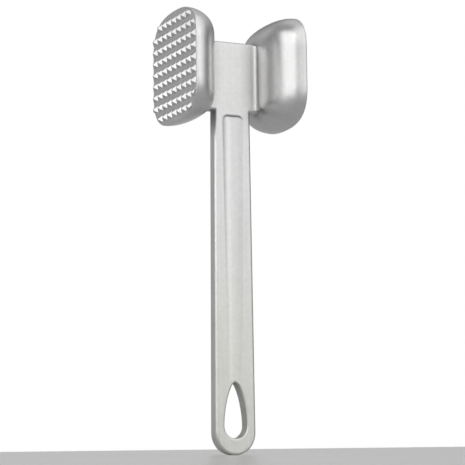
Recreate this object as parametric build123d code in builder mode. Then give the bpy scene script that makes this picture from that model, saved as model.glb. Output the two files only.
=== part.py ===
"""Two-faced meat tenderizer: a cast head with two domed lobes, carried by a flat tapering bar.

Millimetres. X runs along the head, with the toothed face towards -X and the smooth face towards +X.
Y is the thin direction of the bar, with a thumb groove on each side of it. Z runs up the handle, and
z = 0 is the lowest point of its rounded end.
"""

import os
from math import cos, pi

from build123d import *

# Head, measured over the casting and without the teeth
overall_length = 237.0
head_length = 65.0
face_width = 58.0
face_height = 61.6
face_side_straight = 22.0
face_side_pull = 0.78
face_top_pull = 0.66
rim_chamfer = 0.3

# Domed back of each lobe
lobe_depth = 18.0
lobe_back_margin = 0.2
lobe_back_height = 34.0
lobe_back_straight = 31.0
lobe_back_top_pull = 0.85
lobe_back_drop = 1.0
width_roundness = 2.0
height_roundness = 1.9
section_roundness = 1.65
lobe_sections = 9

# Neck, the flat web between the lobes
neck_height = 38.0
neck_top_below_head_top = 15.0
neck_corner_radius = 2.0
neck_to_lobe_radius = 2.4
neck_flare_overlap = 0.1
neck_run_into_lobe = 6.0

# Handle bar
bar_thickness = 7.0
bar_width_at_neck = 20.8
bar_width_at_end = 23.3
bar_run_into_neck = 1.0
bar_edge_chamfer = 0.8

# Thumb groove, the same on both sides of the bar
groove_gap_below_neck = 2.5
groove_width_at_top = 12.4
groove_width_at_foot = 7.2
groove_depth_at_top = 1.2
groove_depth_at_foot = 0.35
groove_side_step = 0.3
groove_run_into_hole = 1.0
groove_corner_radius = 3.0

# Hanging hole, a teardrop with its point up
hole_length = 29.8
hole_width = 13.2
hole_bottom_above_end = 8.6
hole_side_fullness = 10.5
hole_tip_fullness = 2.6
hole_chamfer = 0.5

# Striking plates, let into a pocket in each lobe
plate_thickness = 3.0
rim_width = 0.8
plate_side_clearance = 0.05

# Teeth: blunt pyramids in rows across the face, side by side in a row, with flat channels between rows
tooth_pitch = 6.3
tooth_rows = 9
teeth_in_row = 9
tooth_height = 1.8
tooth_base_height = 4.0
tooth_valley_height = 0.1
tooth_valley_width = 0.2
tooth_tip_width = 0.5
tooth_tip_height = 0.35

# How far from its nominal place an edge or corner may lie and still be picked
pick_margin = 0.01

# Places that follow from the sizes above
face_x = head_length / 2
lobe_back_x = face_x - lobe_depth
flare_half_thickness = bar_thickness / 2 + neck_to_lobe_radius
lobe_back_width = 2 * (flare_half_thickness + lobe_back_margin)
head_centre_z = overall_length - face_height / 2
neck_top_z = overall_length - neck_top_below_head_top
neck_bottom_z = neck_top_z - neck_height
bar_top_z = neck_bottom_z + bar_run_into_neck
bar_end_radius = bar_width_at_end / 2
groove_top_z = neck_bottom_z - groove_gap_below_neck
tooth_base_width = tooth_pitch - tooth_valley_width
hole_radius = hole_width / 2
hole_centre_z = hole_bottom_above_end + hole_radius
hole_tip_z = hole_bottom_above_end + hole_length
front_y = -bar_thickness / 2


def growth(share, roundness):
    """Height of a quarter of a superellipse over its base: 0 at share 0, and 1, level, at share 1."""
    return (1 - (1 - share) ** roundness) ** (1 / roundness)


def blend(start, end, share):
    return start + (end - start) * share


def rounded_outline(half_width, top_z, bottom_z, straight_top_z, straight_bottom_z, side_pull, top_pull):
    """Closed outline on the YZ plane: two straight sides, with a bowed curve from each end to the middle.

    The pulls are the lengths of the curve's handles, as shares of the corner's height and half width.
    """
    for side in (1, -1):
        Line((side * half_width, straight_bottom_z), (side * half_width, straight_top_z))
        for middle_z, straight_z in ((top_z, straight_top_z), (bottom_z, straight_bottom_z)):
            Bezier(
                (side * half_width, straight_z),
                (side * half_width, blend(straight_z, middle_z, side_pull)),
                (side * half_width * top_pull, middle_z),
                (0, middle_z),
            )


def face_outline(inset):
    """The outline of a striking face, drawn in from the rim by the given inset."""
    rounded_outline(
        half_width=face_width / 2 - inset,
        top_z=head_centre_z + face_height / 2 - inset,
        bottom_z=head_centre_z - face_height / 2 + inset,
        straight_top_z=head_centre_z + face_side_straight / 2,
        straight_bottom_z=head_centre_z - face_side_straight / 2,
        side_pull=face_side_pull,
        top_pull=face_top_pull,
    )


def lobe_outline(share):
    """Outline of a lobe at a share of its depth, from the flat of its back, 0, to the rim, 1."""
    wide = growth(share, width_roundness)
    tall = growth(share, height_roundness)
    round_corner = growth(share, section_roundness)
    centre_z = head_centre_z - lobe_back_drop * (1 - round_corner)
    half_height = blend(lobe_back_height, face_height, tall) / 2
    half_straight = blend(lobe_back_straight, face_side_straight, round_corner) / 2
    rounded_outline(
        half_width=blend(lobe_back_width, face_width, wide) / 2,
        top_z=centre_z + half_height,
        bottom_z=centre_z - half_height,
        straight_top_z=centre_z + half_straight,
        straight_bottom_z=centre_z - half_straight,
        side_pull=face_side_pull,
        top_pull=blend(lobe_back_top_pull, face_top_pull, round_corner),
    )


# The groove's cutter: the groove's outline, as deep as a wide cylinder that leans out of the bar
# towards the hole, so that the groove gets shallower on its way down. The cylinder leaves the bar's
# front just outside the outline, which gives the groove's sides their small step
groove_half_chord = groove_width_at_top / 2 + groove_side_step
groove_cylinder_radius = (groove_half_chord**2 + groove_depth_at_top**2) / (2 * groove_depth_at_top)
groove_axis_top = Vector(0, front_y + groove_depth_at_top - groove_cylinder_radius, groove_top_z)
groove_axis_foot = Vector(0, front_y + groove_depth_at_foot - groove_cylinder_radius, hole_tip_z)
groove_axis = groove_axis_top - groove_axis_foot

with BuildPart() as groove_cutter:
    with BuildSketch(Plane.XZ.offset(-front_y - groove_depth_at_top)):
        with BuildLine():
            Polyline(
                (-groove_width_at_top / 2, groove_top_z),
                (groove_width_at_top / 2, groove_top_z),
                (groove_width_at_foot / 2, hole_tip_z - groove_run_into_hole),
                (-groove_width_at_foot / 2, hole_tip_z - groove_run_into_hole),
                close=True,
            )
        make_face()
        fillet(vertices().group_by(Axis.Z)[-1], groove_corner_radius)
    extrude(amount=2 * groove_depth_at_top)
    with BuildSketch(Plane(origin=groove_axis_foot, z_dir=groove_axis)):
        Circle(groove_cylinder_radius)
    extrude(amount=2 * groove_axis.length, both=True, mode=Mode.INTERSECT)


with BuildPart() as casting:
    # Bar and neck share one flat outline and one thickness
    with BuildSketch(Plane.XZ):
        with BuildLine():
            CenterArc((0, bar_end_radius), bar_end_radius, 180, 180)
            Line((-bar_width_at_neck / 2, bar_top_z), (bar_width_at_neck / 2, bar_top_z))
        make_hull()
        with Locations((0, neck_top_z - neck_height / 2)):
            Rectangle(2 * (lobe_back_x + neck_run_into_lobe), neck_height)
        inner_corners = vertices().filter_by(
            lambda v: abs(v.X) < lobe_back_x and abs(v.Z - neck_bottom_z) < pick_margin
        )
        fillet(inner_corners, neck_corner_radius)
    extrude(amount=bar_thickness / 2, both=True)
    bar_rims = edges().filter_by(lambda e: abs(abs(e.center().Y) - bar_thickness / 2) < pick_margin)
    chamfer(bar_rims, bar_edge_chamfer)

    # Cast fillets where the neck flares into the lobes: the round ends of a long slot in each side of
    # a thicker block, which is as high as the flat of the neck
    with BuildSketch(Plane.XY.offset(neck_bottom_z + bar_edge_chamfer)):
        Rectangle(2 * (lobe_back_x + neck_run_into_lobe), 2 * flare_half_thickness)
        with Locations((0, flare_half_thickness), (0, -flare_half_thickness)):
            SlotOverall(
                2 * (lobe_back_x + neck_flare_overlap),
                2 * neck_to_lobe_radius,
                mode=Mode.SUBTRACT,
            )
    extrude(amount=neck_height - 2 * bar_edge_chamfer)

    # Hanging hole
    with BuildSketch(Plane.XZ):
        with BuildLine():
            CenterArc((0, hole_centre_z), hole_radius, 180, 180)
            for side in (1, -1):
                Bezier(
                    (side * hole_radius, hole_centre_z),
                    (side * hole_radius, hole_centre_z + hole_side_fullness),
                    (side * hole_tip_fullness, hole_tip_z),
                    (0, hole_tip_z),
                )
        make_face()
    extrude(amount=bar_thickness, both=True, mode=Mode.SUBTRACT)
    hole_rims = edges().filter_by(
        lambda e: abs(abs(e.center().Y) - bar_thickness / 2) < pick_margin
        and abs(e.center().X) < hole_radius
        and hole_bottom_above_end / 2 < e.center().Z < hole_tip_z
    )
    chamfer(hole_rims, hole_chamfer)

    # Thumb grooves
    add(groove_cutter.part, mode=Mode.SUBTRACT)
    add(mirror(groove_cutter.part, about=Plane.XZ), mode=Mode.SUBTRACT)

    # Lobes, with a narrow chamfer round the rim
    for step in range(lobe_sections):
        share = 1 - cos(pi / 2 * step / (lobe_sections - 1))
        with BuildSketch(Plane.YZ.offset(blend(lobe_back_x, face_x - rim_chamfer, share))):
            with BuildLine():
                lobe_outline(share)
            make_face()
    loft()
    for section_x, inset in ((face_x - rim_chamfer, 0), (face_x, rim_chamfer)):
        with BuildSketch(Plane.YZ.offset(section_x)):
            with BuildLine():
                face_outline(inset)
            make_face()
    loft(ruled=True)
    mirror(about=Plane.YZ)

    # A pocket in each face for its plate
    for pocket_x in (face_x, -face_x):
        with BuildSketch(Plane.YZ.offset(pocket_x)):
            with BuildLine():
                face_outline(rim_width)
            make_face()
        extrude(amount=plate_thickness, both=True, mode=Mode.SUBTRACT)


with BuildPart() as smooth_plate:
    with BuildSketch(Plane.YZ.offset(face_x)):
        with BuildLine():
            face_outline(rim_width + plate_side_clearance)
        make_face()
    extrude(amount=-plate_thickness)


def comb_outline(count, base, tip, valley):
    """Outline of a comb of blunt teeth in front of the plate, for a plane whose first axis is X.

    The second axis runs along the comb, from the middle tooth. The comb reaches past the plate at both
    ends, and its back is the plate's back.
    """
    past_plate = (count + 2) * tooth_pitch / 2
    back_x = -face_x + plate_thickness
    valley_x = -face_x - valley
    tip_x = -face_x - tooth_height
    points = [(back_x, -past_plate), (valley_x, -past_plate)]
    for tooth in range(count):
        middle = (tooth - (count - 1) / 2) * tooth_pitch
        points += [(valley_x, middle - base / 2), (tip_x, middle - tip / 2)]
        points += [(tip_x, middle + tip / 2), (valley_x, middle + base / 2)]
    points += [(valley_x, past_plate), (back_x, past_plate)]
    Polyline(*points, close=True)


# The teeth are what two combs have in common: one is notched between the teeth of a row, the other
# between the rows
with BuildPart() as toothed_plate:
    with BuildSketch(Plane.YZ.offset(-face_x - tooth_height)):
        with BuildLine():
            face_outline(rim_width + plate_side_clearance)
        make_face()
    extrude(amount=tooth_height + plate_thickness)
    with BuildSketch(Plane.XY):
        with BuildLine():
            comb_outline(teeth_in_row, tooth_base_width, tooth_tip_width, tooth_valley_height)
        make_face()
    extrude(amount=overall_length, mode=Mode.INTERSECT)
    with BuildSketch(Plane.XZ.shift_origin((0, 0, head_centre_z))):
        with BuildLine():
            comb_outline(tooth_rows, tooth_base_height, tooth_tip_height, 0)
        make_face()
    extrude(amount=face_width, both=True, mode=Mode.INTERSECT)

    # No tooth in the four corners of the pattern
    with BuildSketch(Plane.YZ.offset(-face_x).shift_origin((-face_x, 0, head_centre_z))):
        with GridLocations(teeth_in_row * tooth_pitch, tooth_rows * tooth_pitch, 2, 2):
            Rectangle(2 * tooth_pitch + tooth_valley_width, 2 * tooth_pitch)
    extrude(amount=-tooth_height, mode=Mode.SUBTRACT)


os.makedirs("parts", exist_ok=True)

casting.part.label = "casting"
export_step(casting.part, "parts/casting.step")

smooth_plate.part.label = "smooth_plate"
export_step(smooth_plate.part, "parts/smooth_plate.step")

toothed_plate.part.label = "toothed_plate"
export_step(toothed_plate.part, "parts/toothed_plate.step")
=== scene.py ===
import bpy
import math
from mathutils import Matrix, Vector

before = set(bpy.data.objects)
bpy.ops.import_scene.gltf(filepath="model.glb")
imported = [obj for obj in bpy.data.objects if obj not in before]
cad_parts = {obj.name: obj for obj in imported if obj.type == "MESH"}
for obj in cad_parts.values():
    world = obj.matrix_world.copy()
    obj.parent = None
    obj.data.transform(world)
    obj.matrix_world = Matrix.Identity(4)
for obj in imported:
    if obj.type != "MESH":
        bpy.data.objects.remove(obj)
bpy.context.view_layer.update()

scene = bpy.context.scene
scene.view_settings.view_transform = "Standard"

# Lengths are in metres. Tones are linear, from black 0 to white 1.

# The camera was fitted to the photograph
FOCAL_PIXELS = 1680.0
IMAGE_PIXELS = 465.0
SENSOR_MM = 36.0
YAW = math.radians(25.596)
PITCH = math.radians(7.333)
ROLL = math.radians(-0.641)
AIM = Vector((0, 0, 0.120))
OFFSET = Vector((-0.000757, -0.001617, 0.90104))
NEAREST = 0.01
FARTHEST = 20


def turned(first, second, angle):
    """Two square directions, both turned by an angle from the first towards the second."""
    sine, cosine = math.sin(angle), math.cos(angle)
    return first * cosine + second * sine, second * cosine - first * sine


def make_camera():
    ahead = Vector((math.sin(YAW), math.cos(YAW), 0))
    right = Vector((math.cos(YAW), -math.sin(YAW), 0))
    ahead, up = turned(ahead, Vector((0, 0, 1)), PITCH)
    right, up = turned(right, up, ROLL)
    place = AIM - right * OFFSET.x + up * OFFSET.y - ahead * OFFSET.z
    data = bpy.data.cameras.new("camera")
    data.sensor_width = SENSOR_MM
    data.lens = FOCAL_PIXELS * SENSOR_MM / IMAGE_PIXELS
    data.clip_start = NEAREST
    data.clip_end = FARTHEST
    camera = bpy.data.objects.new("camera", data)
    turn = Matrix((right, up, -ahead)).transposed().to_4x4()
    camera.matrix_world = Matrix.Translation(place) @ turn
    scene.collection.objects.link(camera)
    scene.camera = camera


make_camera()


class Nodes:
    """Makes and joins shader nodes in one tree."""

    def __init__(self, tree):
        self.tree = tree
        tree.nodes.clear()

    def add(self, kind, inputs, **settings):
        node = self.tree.nodes.new(kind)
        for key, value in settings.items():
            setattr(node, key, value)
        for key, value in inputs.items():
            self.put(node.inputs[key], value)
        return node

    def put(self, socket, value):
        if isinstance(value, bpy.types.NodeSocket):
            self.tree.links.new(value, socket)
        else:
            socket.default_value = value

    def math(self, operation, a, b=0.0):
        return self.add("ShaderNodeMath", {0: a, 1: b}, operation=operation).outputs[0]

    def vector(self, operation, a, b, output="Vector"):
        node = self.add("ShaderNodeVectorMath", {0: a, 1: b}, operation=operation)
        return node.outputs[output]

    def noise(self, place, scale, detail, rough):
        inputs = {"Vector": place, "Scale": scale, "Detail": detail, "Roughness": rough}
        return self.add("ShaderNodeTexNoise", inputs).outputs["Fac"]

    def remap(self, value, low, high, to_low, to_high, curve="LINEAR"):
        inputs = {0: value, 1: low, 2: high, 3: to_low, 4: to_high}
        return self.add("ShaderNodeMapRange", inputs, interpolation_type=curve).outputs[0]

    def mix(self, factor, a, b):
        return self.add("ShaderNodeMix", {0: factor, 6: a, 7: b}, data_type="RGBA").outputs[2]


def grey(value, warm=0.0):
    return (value * (1 + warm), value, value * (1 - warm), 1.0)


# Patterns in the metal: scales in cycles to the metre, and how far each one moves the tone
CLOUD_SCALE = 60.0
SPECK_SCALE = 500.0
STREAK_SCALE = (700.0, 700.0, 14.0)
CLOUD_TONE = 0.03
SPECK_TONE = 0.025
# The edges' brightening is partly rubbed wear and partly a painted highlight
EDGE_WEAR_AND_HIGHLIGHT_TONE = 0.10
TONE_REACH = 0.16
# Nearly all of a noise's values lie between these two, and the streaks' closer to the middle
NOISE_LOW, NOISE_HIGH = 0.3, 0.7
STREAK_LOW, STREAK_HIGH = 0.35, 0.65

# The cosine between the softened and the true normal: where an edge begins, and where it is full
EDGE_BEGINS, EDGE_FULL = 0.995, 0.90
EDGE_SAMPLES = 6

# A recess is a place where little is open within reach, and there painted shade darkens the colour. The
# shares of open at which the painted shade is full, and at which it is gone
RECESS_REACH = 0.018
RECESS_FULL_SHADE, RECESS_OPEN = 0.40, 0.82
PAINTED_SHADE_DARKEST = 0.3
RECESS_SAMPLES = 12

# Clouds and edges move the roughness by these. It stays above 0.275, because below that
# the denoiser leaves rings on the lobes
CLOUD_SMOOTHER = 0.015
CLOUD_ROUGHER = 0.035
EDGE_SMOOTHER = 0.015

BUMP_STRENGTH = 0.5

# A painted warm reflection: the handle's lower end is tinted a little warmer, from one height down to
# the other
WARM_REFLECTION_TINT = (1.0, 1.005, 0.96, 1.0)
WARM_REFLECTION_TOP, WARM_REFLECTION_FULL = 0.13, 0.05


def metal_tone(n, place, clouds, edge, streaks):
    """Clouds, specks, long streaks, and edges brightened partly as rubbed wear and partly as a painted
    highlight, added up as a step from the base tone.
    """
    specks = n.noise(place, SPECK_SCALE, detail=2.0, rough=0.6)
    stretched = n.add("ShaderNodeMapping", {"Vector": place, "Scale": STREAK_SCALE}).outputs[0]
    brushed = n.noise(stretched, 1.0, detail=2.0, rough=0.5)
    tone = n.remap(clouds, NOISE_LOW, NOISE_HIGH, -CLOUD_TONE, CLOUD_TONE)
    for step in (
        n.remap(specks, NOISE_LOW, NOISE_HIGH, -SPECK_TONE, SPECK_TONE),
        n.remap(brushed, STREAK_LOW, STREAK_HIGH, -streaks, streaks),
        # edges brightened: partly rubbed wear, partly painted highlight
        n.math("MULTIPLY", edge, EDGE_WEAR_AND_HIGHLIGHT_TONE),
    ):
        tone = n.math("ADD", tone, step)
    return tone


def aluminium(name, base, rough, grain_scale, grain_depth, edge_radius, warm=0.0, streaks=0.0):
    """Satin cast aluminium: grain in the bump, cloudy colour, edges brightened as rubbed wear and
    painted highlight, painted shade in recesses, a painted warm reflection low on the handle.
    """
    material = bpy.data.materials.new(name)
    material.use_nodes = True
    n = Nodes(material.node_tree)
    place = n.add("ShaderNodeTexCoord", {}).outputs["Object"]
    clouds = n.noise(place, CLOUD_SCALE, detail=3.0, rough=0.55)
    grain = n.noise(place, grain_scale, detail=3.0, rough=0.6)

    # edges, brightened partly as rubbed wear and partly as a painted highlight: near an edge the
    # softened normal leaves the true one
    soft = n.add("ShaderNodeBevel", {"Radius": edge_radius}, samples=EDGE_SAMPLES).outputs[0]
    true = n.add("ShaderNodeNewGeometry", {}).outputs["Normal"]
    aligned = n.vector("DOT_PRODUCT", soft, true, output="Value")
    edge = n.remap(aligned, EDGE_BEGINS, EDGE_FULL, 0.0, 1.0)

    # painted shade: the less is open around a point, the darker its colour
    around = n.add(
        "ShaderNodeAmbientOcclusion", {"Distance": RECESS_REACH}, samples=RECESS_SAMPLES, only_local=True
    )
    clear = n.remap(around.outputs["AO"], RECESS_FULL_SHADE, RECESS_OPEN, PAINTED_SHADE_DARKEST, 1.0)

    tone = metal_tone(n, place, clouds, edge, streaks)
    dark, bright = grey(base - TONE_REACH, warm), grey(base + TONE_REACH, warm)
    clean = n.mix(n.remap(tone, -TONE_REACH, TONE_REACH, 0.0, 1.0), dark, bright)
    height = n.add("ShaderNodeSeparateXYZ", {"Vector": place}).outputs["Z"]
    # painted warm reflection: the colour is tinted warmer towards the handle's lower end
    warm_reflection_share = n.remap(height, WARM_REFLECTION_TOP, WARM_REFLECTION_FULL, 0.0, 1.0)
    tinted = n.vector("MULTIPLY", clean, n.mix(warm_reflection_share, grey(1.0), WARM_REFLECTION_TINT))
    # painted shade: the colour is mixed towards black in recesses
    colour = n.mix(clear, grey(0.0), tinted)

    roughness = n.remap(clouds, NOISE_LOW, NOISE_HIGH, rough - CLOUD_SMOOTHER, rough + CLOUD_ROUGHER)
    roughness = n.math("ADD", roughness, n.math("MULTIPLY", edge, -EDGE_SMOOTHER))

    bump = n.add(
        "ShaderNodeBump",
        {"Strength": BUMP_STRENGTH, "Distance": grain_depth, "Height": grain, "Normal": soft},
    )
    surface = n.add(
        "ShaderNodeBsdfPrincipled",
        {"Base Color": colour, "Metallic": 1.0, "Roughness": roughness, "Normal": bump.outputs[0]},
    )
    n.add("ShaderNodeOutputMaterial", {"Surface": surface.outputs[0]})
    return material


cast_body = aluminium(
    "cast_body",
    base=0.80,
    rough=0.31,
    grain_scale=900.0,
    grain_depth=0.00002,
    edge_radius=0.0013,
    warm=0.004,
    streaks=0.015,
)
plates = aluminium(
    "striking_plates",
    base=0.78,
    rough=0.36,
    grain_scale=1000.0,
    grain_depth=0.00005,
    edge_radius=0.0003,
)

for node, material in (("casting", cast_body), ("toothed_plate", plates), ("smooth_plate", plates)):
    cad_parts[node].material_slots[0].material = material


FLOOR_HALF = 8.0
FLOOR_TONE = 0.55
FLOOR_ROUGHNESS = 0.30
FLOOR_IOR = 1.15


def floor_paint():
    """A plain satin grey. Its low index of refraction keeps the lights' reflections faint."""
    material = bpy.data.materials.new("floor")
    material.use_nodes = True
    n = Nodes(material.node_tree)
    inputs = {"Base Color": grey(FLOOR_TONE), "Roughness": FLOOR_ROUGHNESS, "IOR": FLOOR_IOR}
    surface = n.add("ShaderNodeBsdfPrincipled", inputs)
    n.add("ShaderNodeOutputMaterial", {"Surface": surface.outputs[0]})
    return material


def make_floor():
    mesh = bpy.data.meshes.new("floor")
    corners = [(x * FLOOR_HALF, y * FLOOR_HALF, 0) for x, y in ((-1, -1), (1, -1), (1, 1), (-1, 1))]
    mesh.from_pydata(corners, [], [(0, 1, 2, 3)])
    floor = bpy.data.objects.new("floor", mesh)
    scene.collection.objects.link(floor)
    mesh.materials.append(floor_paint())


make_floor()


# The light is a soft room all round, and one lamp that gives the teeth their glint.
# Angles are in degrees. Azimuth 0 is the side of the handle's front, 90 the smooth face's side
GLINT_AIM = Vector((0, 0, 0.2))
GLINT_AZIMUTH = -99
GLINT_ELEVATION = 10
GLINT_DISTANCE = 1.5
GLINT_SIZE = 0.45
GLINT_RADIANCE = 3.4

ROOM_TONE = 0.14
SOFT_EDGE = 2.0


def towards(azimuth, elevation):
    a, e = math.radians(azimuth), math.radians(elevation)
    return Vector((math.sin(a) * math.cos(e), -math.cos(a) * math.cos(e), math.sin(e)))


def make_glint_lamp():
    """A square lamp off the toothed face's side, aimed at the head."""
    out = towards(GLINT_AZIMUTH, GLINT_ELEVATION)
    data = bpy.data.lights.new("glint_lamp", "AREA")
    data.size = GLINT_SIZE
    data.energy = GLINT_RADIANCE * math.pi * GLINT_SIZE ** 2
    lamp = bpy.data.objects.new("glint_lamp", data)
    lamp.location = GLINT_AIM + out * GLINT_DISTANCE
    lamp.rotation_euler = out.to_track_quat("Z", "Y").to_euler()
    lamp.visible_camera = False
    scene.collection.objects.link(lamp)


make_glint_lamp()


def make_world():
    """Dim walls, soft round glows, rectangular softboxes, and a white backdrop behind the tool."""
    world = bpy.data.worlds.new("world")
    scene.world = world
    world.use_nodes = True
    n = Nodes(world.node_tree)
    way = n.add("ShaderNodeTexCoord", {}).outputs["Generated"]

    def along(direction):
        return n.vector("DOT_PRODUCT", way, tuple(direction), output="Value")

    def smooth(value, low, high, top=1.0):
        return n.remap(value, low, high, 0.0, top, curve="SMOOTHSTEP")

    def glow(azimuth, elevation, inner, outer, strength):
        """A round light, full within inner degrees of its middle and gone at outer."""
        near = along(towards(azimuth, elevation))
        return smooth(near, math.cos(math.radians(outer)), math.cos(math.radians(inner)), strength)

    def softbox(azimuth, elevation, wide, tall, strength):
        """A rectangle, wide and tall in degrees, whose edges fade over SOFT_EDGE to each side."""
        out = towards(azimuth, elevation)
        right = towards(azimuth + 90, 0)
        ahead = along(out)
        window = n.math("GREATER_THAN", ahead, 0.0)
        for side, size in ((right, wide), (out.cross(right), tall)):
            off = n.math("ABSOLUTE", n.math("DIVIDE", along(side), ahead))
            outer = math.tan(math.radians(size / 2 + SOFT_EDGE))
            inner = math.tan(math.radians(size / 2 - SOFT_EDGE))
            window = n.math("MULTIPLY", window, smooth(off, outer, inner))
        return n.math("MULTIPLY", window, strength)

    lights = (
        glow(azimuth=22, elevation=32, inner=16, outer=54, strength=0.85),
        glow(azimuth=-154, elevation=16, inner=10, outer=45, strength=0.25),
        glow(azimuth=110, elevation=58, inner=12, outer=48, strength=0.34),
        glow(azimuth=-130, elevation=66, inner=12, outer=50, strength=0.18),
        softbox(azimuth=-47.5, elevation=20, wide=51, tall=59, strength=1.15),
        softbox(azimuth=43, elevation=14, wide=12, tall=30, strength=0.55),
    )
    room = ROOM_TONE
    for light in lights:
        room = n.math("ADD", room, light)
    backdrop = glow(azimuth=154.4, elevation=7, inner=11.5, outer=15, strength=1.0)
    room = n.math("MAXIMUM", room, backdrop)
    background = n.add("ShaderNodeBackground", {"Color": room, "Strength": 1.0})
    n.add("ShaderNodeOutputWorld", {"Surface": background.outputs[0]})


make_world()
